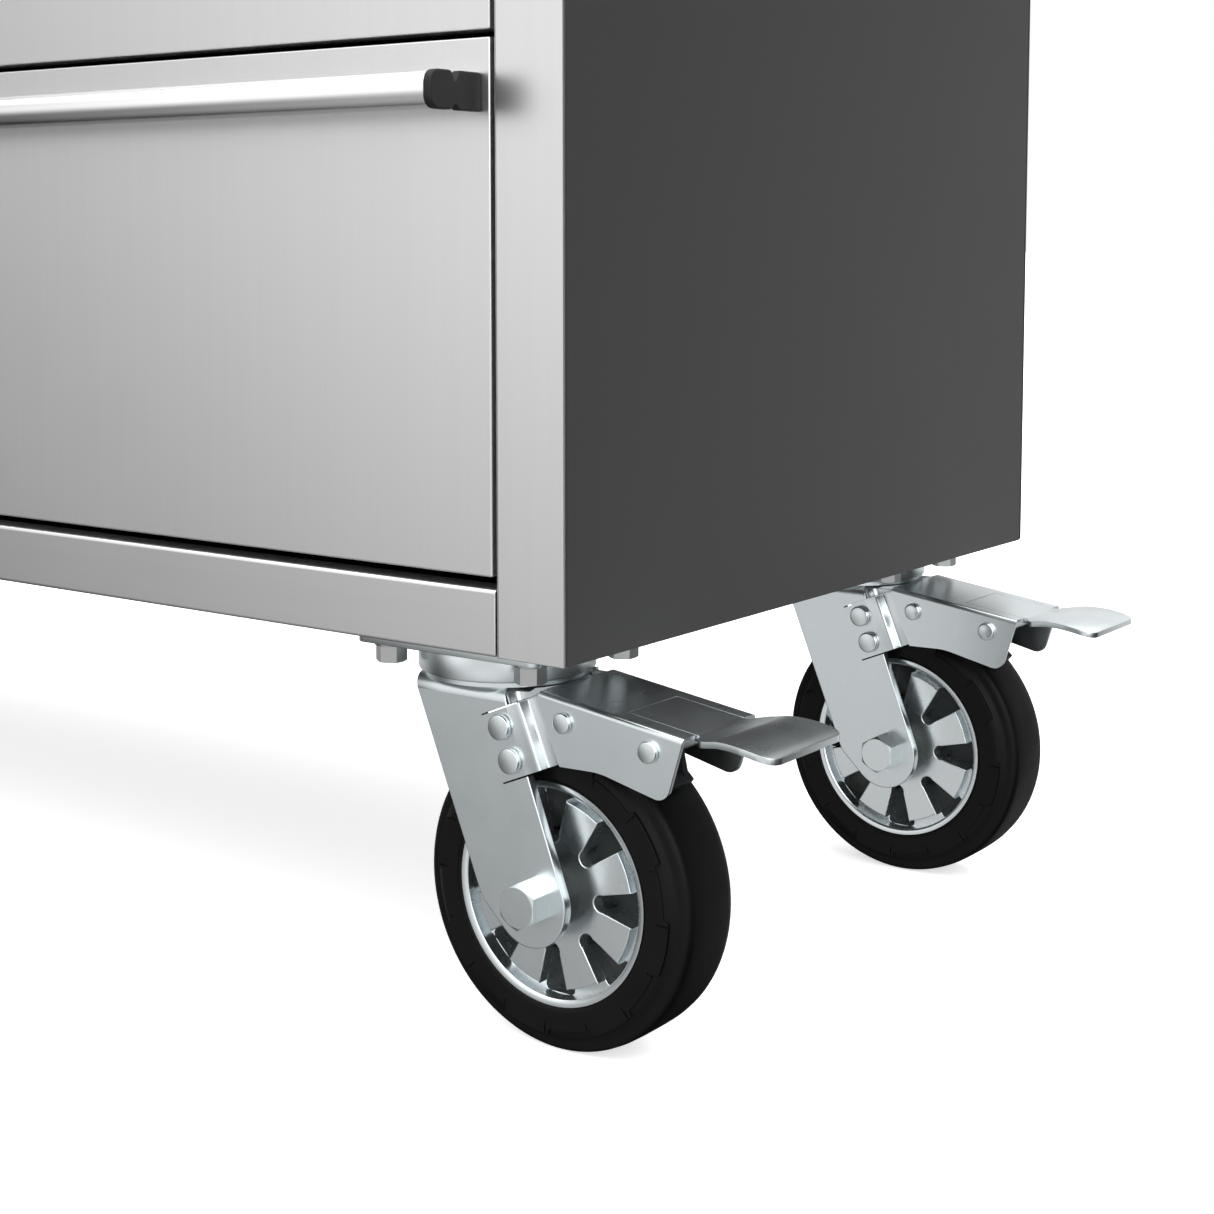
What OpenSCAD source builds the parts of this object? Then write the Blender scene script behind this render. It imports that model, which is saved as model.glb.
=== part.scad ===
// Rolling tool chest: a folded sheet-steel cabinet with five full-width drawers on ball-bearing
// slides, a tray top, a side push handle, a key lock with a locking bar, and four swivel casters
// with foot brakes. Millimetres. +Z is up, -Y is the front, and the origin is on the floor.

/* [Cabinet] */
// Width of the cabinet
cabinet_w = 1066.8; // [1000:1:1300]
// Depth of the cabinet
cabinet_d = 457.2; // [450:1:620]
// Height of the cabinet's underside above the floor
base_z = 191.4; // [191.4:0.1:191.4]
// Thickness of the painted and stainless sheet
sheet = 1.2; // [1:0.1:1.5]
// Width of the two front corner posts
post_w = 37.2; // [37:0.1:50]
// Height of the bottom front rail
bottom_rail_h = 30; // [28:1:60]
// Height of the top front rail
top_rail_h = 32; // [30:1:80]
// Depth that the posts and rails return behind the front face
return_d = 14; // [10:1:15]
// Height of the tray top's rim above the cabinet
tray_h = 20.6; // [12:0.1:40]
// Thickness of the tray's walls
tray_wall = 2; // [1.5:0.5:3]

/* [Drawers] */
// Height of each drawer's face, from the bottom drawer up
face_h = [232.5, 155, 117, 75, 75]; // [75:0.5:260]
// Gap between drawer faces
face_gap = 3.3; // [2:0.1:5]
// Gap between the bottom rail and the lowest face
rail_gap = 5.4; // [3:0.1:8]
// Gap between a drawer face and a corner post
side_gap = 1.9; // [1:0.1:3]
// Depth of the folded drawer front
front_d = 14; // [12:1:16]
// Outside depth of a drawer's box
box_d = 408; // [400:1:410]
// Thickness of a drawer box's walls
box_wall = 1; // [0.8:0.1:1.5]

/* [Drawer slides] */
// Thickness of a three-part slide
slide_t = 12.7; // [12.7:0.1:12.7]
// Height of a slide
slide_h = 35; // [35:0.5:36]
// Length of a slide
slide_len = 386; // [380:1:388]
// Thickness of a slide's steel
slide_wall = 1.2; // [1:0.1:1.3]

/* [Drawer handles] */
// Radius of the handle tube
handle_r = 8; // [7:0.5:9]
// Distance from the drawer face to the tube's axis
handle_out = 25; // [22:0.5:30]
// Distance from the top of the face down to the tube's axis
handle_drop = 23.3; // [20:0.1:28]
// Distance from the side of the face to the handle's end
handle_inset = 4.4; // [3:0.1:20]
// Thickness of a handle's end bracket
bracket_t = 4; // [3:0.5:8]

/* [Push handle] */
// Radius of the push handle's tube
push_r = 12.7; // [10:0.1:15]
// Distance from the cabinet's side to the tube's axis
push_out = 45; // [40:1:60]
// Length of the push handle
push_len = 380; // [200:1:420]
// Distance from the cabinet's top down to the tube's axis
push_drop = 80; // [60:1:200]

/* [Lock] */
// Radius of the turning barrel
barrel_r = 7; // [6:0.5:7]
// Radius of the lock's body
lock_r = 9.5; // [9:0.5:10]
// How far the locking bar drops
bar_drop = 12; // [10:0.5:12]

/* [Caster] */
// Distance from the cabinet's side to a caster's swivel axis
caster_in_x = 80; // [80:1:140]
// Distance from the cabinet's front or back to a swivel axis
caster_in_y = 61.5; // [57:0.1:61.5]
// Top plate's length, width and thickness
plate = [108, 95, 6]; // [6:1:120]
// Spacing of the top plate's four bolts
bolt_span = [83.2, 71]; // [60:0.1:84]
// Radius of the ball race
race_r = 42; // [38:1:43]
// Distance from the swivel axis to the wheel's axle
trail = 41.2; // [38:0.1:42]

/* [Wheel] */
// Radius of the tyre's tread
wheel_r = 75; // [75:0.5:75]
// Half the width of the tyre
tyre_half = 22.5; // [20:0.5:24]
// Outer radius of the wheel's rim
rim_r = 52.5; // [50:0.5:54]
// Radius of the axle bolt
axle_r = 6; // [5:0.5:6]

/* [Fork] */
// Half the width across the outside of the fork
fork_half = 34.8; // [34:0.1:36]
// Thickness of the fork's plate
fork_t = 5; // [4:0.5:5]
// Radius of the rounded end around the axle
fork_end_r = 20.4; // [19:0.1:21]

/* [Brake] */
// Half the width across the outside of the brake housing
housing_half = 33; // [32:0.1:33]
// Thickness of the brake's sheet
brake_t = 2.6; // [2:0.1:3]
// Slope of the housing's top plate
top_slope = 7.9; // [7:0.1:8.5]
// Distance from the swivel axis to the pedal's tip
pedal_reach = 165.5; // [150:0.5:166]
// Half the width of the pedal's foot plate
pedal_half = 31; // [26:0.5:32]

/* [Hidden] */
$fn = 48;
eps = 0.01;
CORNERS = ["fl", "fr", "bl", "br"];
DRAWERS = [1, 2, 3, 4, 5];
CABINET_NODES = ["side_panel_left", "side_panel_right", "back_panel", "base_pan", "corner_posts",
                 "bottom_rail", "top_rail", "top_tray", "slide_uprights", "slide_outer_members",
                 "caster_plates", "caster_bolts", "push_handle", "lock_body", "lock_barrel",
                 "lock_bar"];
DRAWER_NODES = [for (i = DRAWERS) for (p = ["box", "front", "handle", "slides"]) str("drawer_", i, "_", p)];
CASTER_NODES = [for (c = CORNERS)
                for (p = ["fork", "brake_housing", "fasteners", "pedal", "rim", "tyre"])
                str("caster_", c, "_", p)];

stainless = "gainsboro";
dark_paint = "dimgray";
zinc = "lightsteelblue";
black = "black";
grey_steel = "darkgray";

// The cabinet's outline
half_w = cabinet_w / 2;
bracket_rim = 0.2;
handle_reach = handle_out + handle_r + bracket_rim;
face_y = -(cabinet_d - handle_reach) / 2;
back_y = face_y + cabinet_d;
opening_half = half_w - post_w;
face_count = len(face_h);
function total(list, n) = n <= 0 ? 0 : list[n - 1] + total(list, n - 1);
function face_z(i) = base_z + bottom_rail_h + rail_gap + total(face_h, i - 1) + (i - 1) * face_gap;
top_rail_z = face_z(face_count) + face_h[face_count - 1] + rail_gap;
cabinet_top = top_rail_z + top_rail_h;

// Drawer boxes and slides
face_half = opening_half - side_gap;
box_half = opening_half - slide_t;
box_lift = 8;
box_top_room = 12;
box_y = face_y + front_d;
slide_y = face_y + 34;
slide_lift = 20;
function box_z(i) = face_z(i) + box_lift;
function box_h(i) = face_h[i - 1] - box_lift - box_top_room;
function slide_z(i) = box_z(i) + slide_lift;
catch_lift = 40;
catch_h = 12;

// Uprights that carry the slides
upright_w = 40;
upright_t = 1.5;
upright_ys = [slide_y + 20, slide_y + slide_len - 20 - upright_w];

// The lock and its bar
lock_x = half_w - post_w / 2;
lock_z = top_rail_z + top_rail_h / 2;
bezel_r = 12;
bezel_t = 2.5;
lock_len = 19;
crank = bar_drop / 2 / sin(45);
crank_pin_r = 2;
bar_y = face_y + 22;
bar_t = 2;
bar_x = [opening_half + 2, opening_half + 20];
tooth_in = 9;
tooth_clear = 1.5;

// Casters, in a frame on the wheel's axle with +X towards the pedal
plate_z = base_z - wheel_r;
race_h = 12.5;
race_gap = 0.4;
crown_z = plate_z - plate[2] - race_h - race_gap;
lower_race_h = 3;
lower_race_r = race_r - 2;
crown_top = crown_z - 1;
kingpin_r = 8;
running = 0.05;
bolt_r = 4;
nut_af = 13;
axle_nut_af = 19;

// The fork leg's outline, in the plane of its side
fork_end = [-1.6, -1.6];
leg_heel = [-29.3, -3.5];
leg_top_back = [-70.6, crown_top];
leg_top_front = [-17.2, crown_top];
strip_tilt = 22.6;
strip_w = [54.5, 86.3];
slit_start = 5;
slit_w = 0.8;
rivets = [[-17.2, 78.1], [-11.4, 63.3]];
small_rivet = [14.2, 83.2];
pivot = [60.9, 77.1];
pivot_r = 4;

// The housing's top plate and side outline
top_start_z = 96;
side_top = [1.4, 94.6];
side_end = [78.2, 85];
side_low = 60.9;
plate_end_u = 79.2;
slot_u = 43;
tongue_half = 19.1;
slot_gap = 0.6;
paddle_z = 84.9;
paddle_t = 3;
paddle_start = 81.6;
paddle_end = pedal_reach - trail;
paddle_corner = 9;
lever_y = [10, 13];
shoe_half = 16;

// Tangent point from p to a circle; side is 1 or -1
function tangent(p, c, r, side) =
    let (d = c - p, dist = norm(d), a = atan2(d[1], d[0]) + side * asin(r / dist))
    p + sqrt(dist * dist - r * r) * [cos(a), sin(a)];
function hex_r(across_flats) = across_flats / 2 / cos(30);

// ---- shared shapes ----

// A cylinder along Y between two Y values
module pin_y(r, y0, y1) {
    translate([0, y1, 0]) rotate([90, 0, 0]) cylinder(r = r, h = y1 - y0);
}

// A hexagon along Y with one corner up
module hex_y(af, y0, y1) {
    translate([0, y1, 0]) rotate([90, 0, 0]) rotate([0, 0, 30]) cylinder(r = hex_r(af), h = y1 - y0, $fn = 6);
}

// A 2D outline in X and Z, given thickness between two Y values
module side_plate(y0, y1) {
    translate([0, y1, 0]) rotate([90, 0, 0]) linear_extrude(y1 - y0) children();
}

// Both of a pair that mirrors across the plane X = 0, or Y = 0
module both_x() {
    children();
    mirror([1, 0, 0]) children();
}
module both_y() {
    children();
    mirror([0, 1, 0]) children();
}

// A C-shaped slide member along Y. It opens towards +X, and x is where its web starts
module channel_member(x, h, depth, len, t = slide_wall) {
    translate([x, 0, -h / 2]) cube([t, len, h]);
    for (z = [-h / 2, h / 2 - t]) translate([x, 0, z]) cube([depth, len, t]);
}

// ---- cabinet ----

module side_panel() {
    front = face_y + sheet;
    back = back_y - sheet;
    height = cabinet_top - base_z;
    translate([0, 0, base_z]) {
        translate([half_w - sheet, front, 0]) cube([sheet, back - front, height]);
        translate([opening_half + 2, front, 0]) cube([post_w - 2, sheet, height]);
        translate([half_w - 18, back - sheet, 0]) cube([18, sheet, height]);
    }
}

module side_panel_right() {
    color(dark_paint) difference() {
        side_panel();
        lock_hole();
    }
}

module side_panel_left() {
    color(dark_paint) mirror([1, 0, 0]) side_panel();
}

// Hole for the lock's body through the right post and the panel's front edge
module lock_hole() {
    translate([lock_x, 0, lock_z]) pin_y(lock_r + 0.3, face_y - 1, face_y + 2 * sheet + 1);
}

module back_panel() {
    color(dark_paint) translate([-half_w, back_y - sheet, base_z]) cube([cabinet_w, sheet, cabinet_top - base_z]);
}

// Folded floor with upturned edges and the holes for the caster bolts
module base_pan() {
    front = face_y + return_d + 2;
    back = back_y - 2 * sheet;
    half = half_w - sheet;
    floor_t = 2;
    color(dark_paint) difference() {
        translate([-half, front, base_z]) cube([2 * half, back - front, 25]);
        translate([-half + floor_t, front + floor_t, base_z + floor_t])
            cube([2 * (half - floor_t), back - front - 2 * floor_t, 25]);
        at_each_bolt() cylinder(r = bolt_r + 0.3, h = 40, center = true);
    }
}

module at_each_plate() {
    for (x = [-1, 1], y = [face_y + caster_in_y, back_y - caster_in_y])
        translate([x * (half_w - caster_in_x), y, base_z]) children();
}

module at_each_bolt() {
    at_each_plate() for (x = [-0.5, 0.5], y = [-0.5, 0.5])
        translate([x * bolt_span[0], y * bolt_span[1], 0]) children();
}

module corner_posts() {
    color(stainless) difference() {
        both_x() translate([opening_half, face_y, base_z]) {
            cube([post_w, sheet, cabinet_top - base_z]);
            cube([sheet, return_d, cabinet_top - base_z]);
        }
        lock_hole();
    }
}

// A U-shaped front rail, open towards the back
module front_rail(z, h) {
    half = opening_half - 0.4;
    color(stainless) translate([-half, face_y, z]) {
        cube([2 * half, sheet, h]);
        for (lift = [0, h - sheet]) translate([0, 0, lift]) cube([2 * half, return_d, sheet]);
    }
}

module bottom_rail() { front_rail(base_z, bottom_rail_h); }
module top_rail() { front_rail(top_rail_z, top_rail_h); }

module top_tray() {
    color(stainless) difference() {
        translate([-half_w, face_y, cabinet_top]) cube([cabinet_w, cabinet_d, tray_h]);
        translate([-half_w + tray_wall, face_y + tray_wall, cabinet_top + sheet])
            cube([cabinet_w - 2 * tray_wall, cabinet_d - 2 * tray_wall, tray_h]);
    }
}

module slide_uprights() {
    low = base_z + 27;
    color(grey_steel) both_x() for (y = upright_ys) translate([opening_half, y, low]) {
        cube([upright_t, upright_w, top_rail_z - low]);
        for (side = [0, upright_w - upright_t])
            translate([0, side, 0]) cube([post_w - sheet, upright_t, top_rail_z - low]);
    }
}

module slide_outer_members() {
    color(grey_steel) both_x() for (i = DRAWERS)
        translate([opening_half, slide_y, slide_z(i)]) mirror([1, 0, 0])
            channel_member(0, slide_h, slide_t - 1.7, slide_len);
}

module push_bracket() {
    thick = 8;
    color(black) translate([half_w, -thick / 2, 0]) difference() {
        union() {
            translate([push_out, 0, 0]) pin_y(push_r + 1.5, 0, thick);
            translate([0, 0, -14]) cube([push_out - 4, thick, 28]);
        }
        for (z = [-16.5, 16.5]) translate([push_out - 16, -1, z]) rotate([0, 45, 0])
            translate([-4.5, 0, -4.5]) cube([9, thick + 2, 9]);
    }
}

module push_handle() {
    middle_y = (face_y + back_y) / 2;
    translate([0, middle_y, cabinet_top - push_drop]) {
        color(stainless) translate([half_w + push_out, 0, 0]) pin_y(push_r, -push_len / 2 + 8, push_len / 2 - 8);
        for (y = [-1, 1]) translate([0, y * (push_len / 2 - 4), 0]) push_bracket();
    }
}

module lock_body() {
    color(zinc) translate([lock_x, 0, lock_z]) difference() {
        union() {
            pin_y(bezel_r, face_y - bezel_t, face_y);
            pin_y(lock_r, face_y - 1, face_y + lock_len);
        }
        pin_y(barrel_r + running, face_y - bezel_t - 1, face_y + lock_len + 1);
    }
}

// Turning barrel with a key slot in front and a crank pin behind
module lock_barrel() {
    color(zinc) translate([lock_x, 0, lock_z]) {
        difference() {
            pin_y(barrel_r, face_y - bezel_t, face_y + lock_len + 1);
            translate([-1, face_y - bezel_t - 1, -4.5]) cube([2, 6, 9]);
        }
        rotate([0, -45, 0]) translate([crank, 0, 0]) pin_y(crank_pin_r, face_y + lock_len, bar_y + bar_t + 1);
        pin_y(crank + crank_pin_r + 1, face_y + lock_len + 0.5, face_y + lock_len + 2);
    }
}

// Flat bar behind the right post. Its teeth drop in front of the drawers' catches
module lock_bar() {
    low = base_z + 42;
    high = lock_z + crank + crank_pin_r + 4;
    slot_h = 2 * crank_pin_r + 1.2;
    slot_l = crank + 2 * crank_pin_r;
    color(grey_steel) difference() {
        union() {
            translate([bar_x[0], bar_y, low]) cube([bar_x[1] - bar_x[0], bar_t, high - low]);
            for (i = DRAWERS)
                translate([bar_x[0] - 2 - tooth_in, bar_y, box_z(i) + catch_lift + catch_h + tooth_clear])
                    cube([tooth_in + 4, bar_t, catch_h]);
        }
        translate([lock_x + crank * cos(45) - slot_l / 2, bar_y - 1, lock_z + bar_drop / 2 - slot_h / 2])
            cube([slot_l, bar_t + 2, slot_h]);
    }
}

// ---- drawers ----

module drawer_box(i) {
    color(dark_paint) translate([-box_half, box_y, box_z(i)]) difference() {
        cube([2 * box_half, box_d, box_h(i)]);
        translate([box_wall, box_wall, box_wall])
            cube([2 * (box_half - box_wall), box_d - 2 * box_wall, box_h(i)]);
    }
    // inner slide members, fixed to the box's sides
    color(grey_steel) both_x() translate([box_half, slide_y, slide_z(i)])
        channel_member(0, 19, 8.1, slide_len);
    // catch for the locking bar
    color(grey_steel) translate([box_half, bar_y + bar_t + 3, box_z(i) + catch_lift])
        cube([slide_t - 3, bar_t, catch_h]);
}

// Folded drawer front: a skin with four returned edges
module drawer_front(i) {
    color(stainless) translate([-face_half, face_y, face_z(i)]) difference() {
        cube([2 * face_half, front_d, face_h[i - 1]]);
        translate([sheet, sheet, sheet])
            cube([2 * (face_half - sheet), front_d, face_h[i - 1] - 2 * sheet]);
    }
}

// End bracket: a round lobe around the tube and a foot on the face, with a notch above and below
module handle_bracket() {
    foot = 16.6;
    notch = 3.4;
    color(black) translate([-bracket_t, 0, 0]) rotate([90, 0, 90]) linear_extrude(bracket_t) difference() {
        union() {
            translate([-handle_out, 0]) circle(r = handle_r + bracket_rim);
            translate([-handle_out, -foot / 2]) square([handle_out, foot]);
        }
        for (side = [-1, 1])
            polygon([[-foot - 3, side * foot], [-foot - 3, side * foot / 2], [-foot, side * (foot / 2 - notch)],
                     [-foot + 1.5, side * foot / 2], [-foot + 1.5, side * foot]]);
        translate([-handle_out, 0]) difference() {
            translate([-foot, -foot]) square([foot, 2 * foot]);
            circle(r = handle_r + bracket_rim);
        }
    }
}

module drawer_handle(i) {
    end = face_half - handle_inset;
    translate([0, face_y, face_z(i) + face_h[i - 1] - handle_drop]) {
        color(stainless) translate([-end + bracket_t, -handle_out, 0]) rotate([0, 90, 0])
            cylinder(r = handle_r, h = 2 * (end - bracket_t));
        both_x() translate([end, 0, 0]) handle_bracket();
    }
}

// Middle slide members, which travel half as far as the drawer
module drawer_slides(i) {
    color(grey_steel) both_x() translate([opening_half, slide_y, slide_z(i)]) mirror([1, 0, 0])
        channel_member(slide_wall + 1, 27, 9.3, slide_len);
}

// ---- casters ----

// Puts a caster part, drawn around its wheel's axle, at its corner of the cabinet
module at_corner(c) {
    right = c[1] == "r";
    front = c[0] == "f";
    translate([(right ? 1 : -1) * (half_w - caster_in_x),
               front ? face_y + caster_in_y : back_y - caster_in_y, 0])
        rotate([0, 0, right ? 0 : 180]) translate([trail, 0, wheel_r]) children();
}

// Fixed top plate with its ball race and kingpin
module caster_plate() {
    difference() {
        translate([-plate[0] / 2, -plate[1] / 2, -plate[2]]) cube(plate);
        for (x = [-0.5, 0.5], y = [-0.5, 0.5]) translate([x * bolt_span[0], y * bolt_span[1], 0])
            cylinder(r = bolt_r + 0.3, h = 40, center = true);
    }
    translate([0, 0, -plate[2] - race_h]) difference() {
        cylinder(r = race_r, h = race_h + eps, $fn = 96);
        translate([0, 0, -eps]) cylinder(r = race_r - 8, h = 6, $fn = 96);
    }
    head_z = crown_top - fork_t - 0.5 - plate_z;
    translate([0, 0, head_z]) cylinder(r = kingpin_r, h = -head_z - 1);
    translate([0, 0, head_z - 5]) cylinder(r = 13, h = 5);
}

module caster_plates() {
    color(zinc) at_each_plate() caster_plate();
}

// Bolt head inside the base, then washer and nut under the top plate
module caster_bolts() {
    color(grey_steel) at_each_bolt() {
        floor_t = 2;
        translate([0, 0, -16]) cylinder(r = bolt_r, h = 16 + floor_t + eps);
        translate([0, 0, floor_t]) cylinder(r = hex_r(nut_af), h = 5.3, $fn = 6);
        translate([0, 0, -plate[2] - 2]) cylinder(r = 8, h = 2);
        translate([0, 0, -16]) cylinder(r = hex_r(nut_af), h = 16 - plate[2] - 1.9, $fn = 6);
    }
}

module leg_outline() {
    translate(fork_end) circle(r = fork_end_r);
    polygon([leg_top_back, leg_heel, tangent(leg_heel, fork_end, fork_end_r, -1), fork_end,
             tangent(leg_top_front, fork_end, fork_end_r, 1), leg_top_front]);
}

module fork() {
    bend = 7;
    color(zinc) difference() {
        union() {
            intersection() {
                // folded channel, seen along X
                translate([-90, 0, 0]) rotate([90, 0, 90]) linear_extrude(140) difference() {
                    channel_outline(fork_half, bend);
                    channel_outline(fork_half - fork_t, bend - fork_t, fork_t);
                }
                side_plate(-fork_half - 1, fork_half + 1) leg_outline();
            }
            translate([-trail, 0, crown_z - lower_race_h]) cylinder(r = lower_race_r, h = lower_race_h, $fn = 96);
        }
        translate([-trail, 0, crown_top - fork_t - 1]) cylinder(r = kingpin_r + running, h = 20);
        pin_y(axle_r + 0.2, -50, 50);
        for (r = rivets) translate([r[0], 0, r[1]]) pin_y(3.5, -50, 50);
        // slits above and below the housing's tabs
        rotate([0, -strip_tilt, 0]) for (w = [strip_w[0] - slit_w, strip_w[1]])
            translate([slit_start, -50, w]) cube([40, 100, slit_w]);
    }
}

// Closed-top channel section: straight sides and two rounded top corners
module channel_outline(half, r, drop = 0) {
    top = crown_top - drop;
    translate([-half, -60]) square([2 * half, top + 60 - r]);
    translate([-half + r, -60]) square([2 * (half - r), top + 60]);
    for (y = [-half + r, half - r]) translate([y, top - r]) circle(r = r);
}

// Points of an arc from angle a0 to a1 about c
function arc(c, r, a0, a1, steps = 6) =
    [for (k = [0:steps]) c + r * [cos(a0 + (a1 - a0) * k / steps), sin(a0 + (a1 - a0) * k / steps)]];

module housing_side_outline() {
    corner = 7;
    polygon(concat([[-0.6, 91.8], side_top, side_end],
                   arc([75.6 - corner, side_low + corner], corner, -5, -90),
                   [[48.5, side_low], [26.9, 62.3], [11.9, 62.9]]));
}

// Folded brake housing: two sides, a sloping top plate with a slot for the pedal, and side tabs
// that step out over the fork's legs
module brake_housing() {
    step = [fork_half + 2, fork_half];
    color(zinc) difference() {
        union() {
            both_y() side_plate(housing_half - brake_t, housing_half) housing_side_outline();
            translate([0, 0, top_start_z]) rotate([0, top_slope, 0]) difference() {
                translate([0, -housing_half, -brake_t]) cube([plate_end_u, 2 * housing_half, brake_t]);
                translate([slot_u - 0.6, -tongue_half - slot_gap, -5])
                    cube([60, 2 * (tongue_half + slot_gap), 10]);
            }
            both_y() rotate([0, -strip_tilt, 0]) translate([0, 0, strip_w[0]])
                linear_extrude(strip_w[1] - strip_w[0])
                    polygon([[slit_start + 1, step[1] + 0.2], [13, step[0]], [25, step[0]], [29.6, housing_half],
                             [35.2, housing_half], [35.2, housing_half - brake_t],
                             [28.4, housing_half - brake_t], [24.2, step[1]], [slit_start + 1, step[1]]]);
            inner_gusset();
        }
        for (r = rivets) translate([r[0], 0, r[1]]) pin_y(3.5, -50, 50);
        translate([small_rivet[0], 0, small_rivet[1]]) pin_y(3, -50, 50);
        translate([pivot[0], 0, pivot[1]]) pin_y(pivot_r + running, -50, 50);
    }
}

// Inner folded brace between the housing's top plate and the crown
module inner_gusset() {
    half = 21;
    intersection() {
        rotate([0, -strip_tilt, 0]) difference() {
            translate([24, -half, 74]) cube([22, 2 * half, 30]);
            translate([24 + brake_t, -half + brake_t, 60]) cube([40, 2 * (half - brake_t), 60]);
        }
        side_plate(-40, 40) polygon([[-30, 60], [40, 60], [40, 89.5], [2, 94.6], [-1, crown_z - lower_race_h - 0.3],
                                     [-30, crown_z - lower_race_h - 0.3]]);
    }
}

// Axle bolt and nut, rivets and the pedal's pivot pin
module caster_fasteners() {
    color(grey_steel) {
        pin_y(axle_r, -fork_half - 12, fork_half + 7.5);
        hex_y(axle_nut_af, -fork_half - 12, -fork_half);
        hex_y(axle_nut_af, fork_half, fork_half + 7.5);
        both_y() for (r = rivets) translate([r[0], 0, r[1]]) {
            pin_y(3.4, fork_half - fork_t - 1, fork_half + 2);
            pin_y(6, fork_half + 2, fork_half + 5);
            pin_y(5, fork_half - fork_t - 1.2, fork_half - fork_t);
        }
        both_y() translate([small_rivet[0], 0, small_rivet[1]]) {
            pin_y(2.9, housing_half - brake_t - 1, housing_half);
            pin_y(4.85, housing_half, housing_half + 2.5);
            pin_y(4.85, housing_half - brake_t - 1.5, housing_half - brake_t);
        }
        translate([pivot[0], 0, pivot[1]]) {
            pin_y(pivot_r, -housing_half - 2.5, housing_half + 2.5);
            both_y() pin_y(5, housing_half, housing_half + 2.5);
        }
    }
}

// Foot plate seen from above: it widens from the tongue to two rounded corners
module paddle_outline() {
    c = paddle_corner;
    corner = [paddle_end - c, pedal_half - c];
    near_side = concat([[paddle_start - 3, -tongue_half], [paddle_start, -tongue_half], [paddle_start + 2, -24.5]],
                       arc([corner[0], -corner[1]], c, -85, 0));
    polygon(concat(near_side, [for (k = [len(near_side) - 1:-1:0]) [near_side[k][0], -near_side[k][1]]]));
}

// Foot pedal: a tongue in the housing's slot, a foot plate outside, and two arms on the pivot pin
module pedal() {
    color(zinc) difference() {
        union() {
            translate([0, 0, top_start_z]) rotate([0, top_slope, 0])
                translate([slot_u, -tongue_half, -brake_t]) cube([paddle_start - slot_u, 2 * tongue_half, brake_t]);
            translate([0, 0, paddle_z - paddle_t]) linear_extrude(paddle_t) paddle_outline();
            both_y() side_plate(lever_y[0], lever_y[1])
                polygon([[50, 87], [76, 83.6], [67, 70], [61.5, 57.5], [56, 59.5], [54, 70]]);
            // shoe that closes on the tread
            rotate([0, -46, 0]) translate([77.8, -shoe_half, -4]) cube([5, 2 * shoe_half, 8]);
        }
        translate([pivot[0], 0, pivot[1]]) pin_y(pivot_r + running, -50, 50);
    }
}

module wheel_profile(points) {
    rotate([90, 0, 0]) rotate_extrude($fn = 128)
        polygon(concat(points, [for (i = [len(points) - 1:-1:0]) [points[i][0], -points[i][1]]]));
}

module rim() {
    hub_half = fork_half - fork_t - 0.5;
    bearing_r = 14;
    face = 19.5;
    color(zinc) difference() {
        wheel_profile([[bearing_r, hub_half], [17, hub_half], [19, face], [44.5, face], [45.5, 13.5],
                       [49, 13.5], [49.6, tyre_half - 1], [rim_r, tyre_half - 1]]);
        // eight windows in each face
        both_y() for (a = [0:45:315]) rotate([0, a, 0]) side_plate(3, 30) {
            translate([27.5, 0]) circle(r = 4);
            polygon([[27, -4], [48.8, -9], [48.8, 9], [27, 4]]);
        }
    }
    // ball bearings, one at each end of the hub
    color(grey_steel) both_y() difference() {
        pin_y(bearing_r - 0.02, hub_half - 10, hub_half);
        pin_y(axle_r + running, 0, 50);
    }
}

module tyre() {
    color(black) wheel_profile([[rim_r + 0.05, tyre_half - 1.2], [63, tyre_half - 0.4], [63.5, tyre_half - 2],
                                [64.5, tyre_half], [70.5, tyre_half - 2], [73.8, 18], [wheel_r, 15]]);
}

// ---- output ----

side_panel_left();
side_panel_right();
back_panel();
base_pan();
corner_posts();
bottom_rail();
top_rail();
top_tray();
slide_uprights();
slide_outer_members();
caster_plates();
caster_bolts();
push_handle();
lock_body();
lock_barrel();
lock_bar();
for (i = DRAWERS) {
    drawer_box(i);
    drawer_front(i);
    drawer_handle(i);
    drawer_slides(i);
}
for (c = CORNERS) {
    at_corner(c) fork();
    at_corner(c) brake_housing();
    at_corner(c) caster_fasteners();
    at_corner(c) pedal();
    at_corner(c) rim();
    at_corner(c) tyre();
}
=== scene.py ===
"""Looks for the rolling tool chest.

Shapes are drawn in millimetres and scaled to metres when a piece is made.
"""

import math

import bmesh
import bpy
from mathutils import Matrix, Vector
from mathutils.geometry import tessellate_polygon


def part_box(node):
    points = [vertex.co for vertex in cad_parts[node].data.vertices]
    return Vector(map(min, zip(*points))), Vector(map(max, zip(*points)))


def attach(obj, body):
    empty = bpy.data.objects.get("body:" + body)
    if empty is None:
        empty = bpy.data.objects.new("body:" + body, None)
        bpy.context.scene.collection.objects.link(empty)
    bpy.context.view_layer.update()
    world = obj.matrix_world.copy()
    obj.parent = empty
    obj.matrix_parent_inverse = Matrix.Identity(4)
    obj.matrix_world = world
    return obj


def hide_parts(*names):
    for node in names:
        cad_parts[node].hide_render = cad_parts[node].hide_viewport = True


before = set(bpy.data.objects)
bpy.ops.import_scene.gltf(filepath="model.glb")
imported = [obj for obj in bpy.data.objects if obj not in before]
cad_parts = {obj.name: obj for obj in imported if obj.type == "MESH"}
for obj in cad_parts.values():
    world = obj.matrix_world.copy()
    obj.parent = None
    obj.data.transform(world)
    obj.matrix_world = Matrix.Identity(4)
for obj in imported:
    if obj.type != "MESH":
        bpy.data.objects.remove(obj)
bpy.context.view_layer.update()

scene = bpy.context.scene
scene.view_settings.view_transform = "Standard"
MM = 0.001
BROAD = 8  # a face wider than this, in millimetres, is shaded flat
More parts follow.
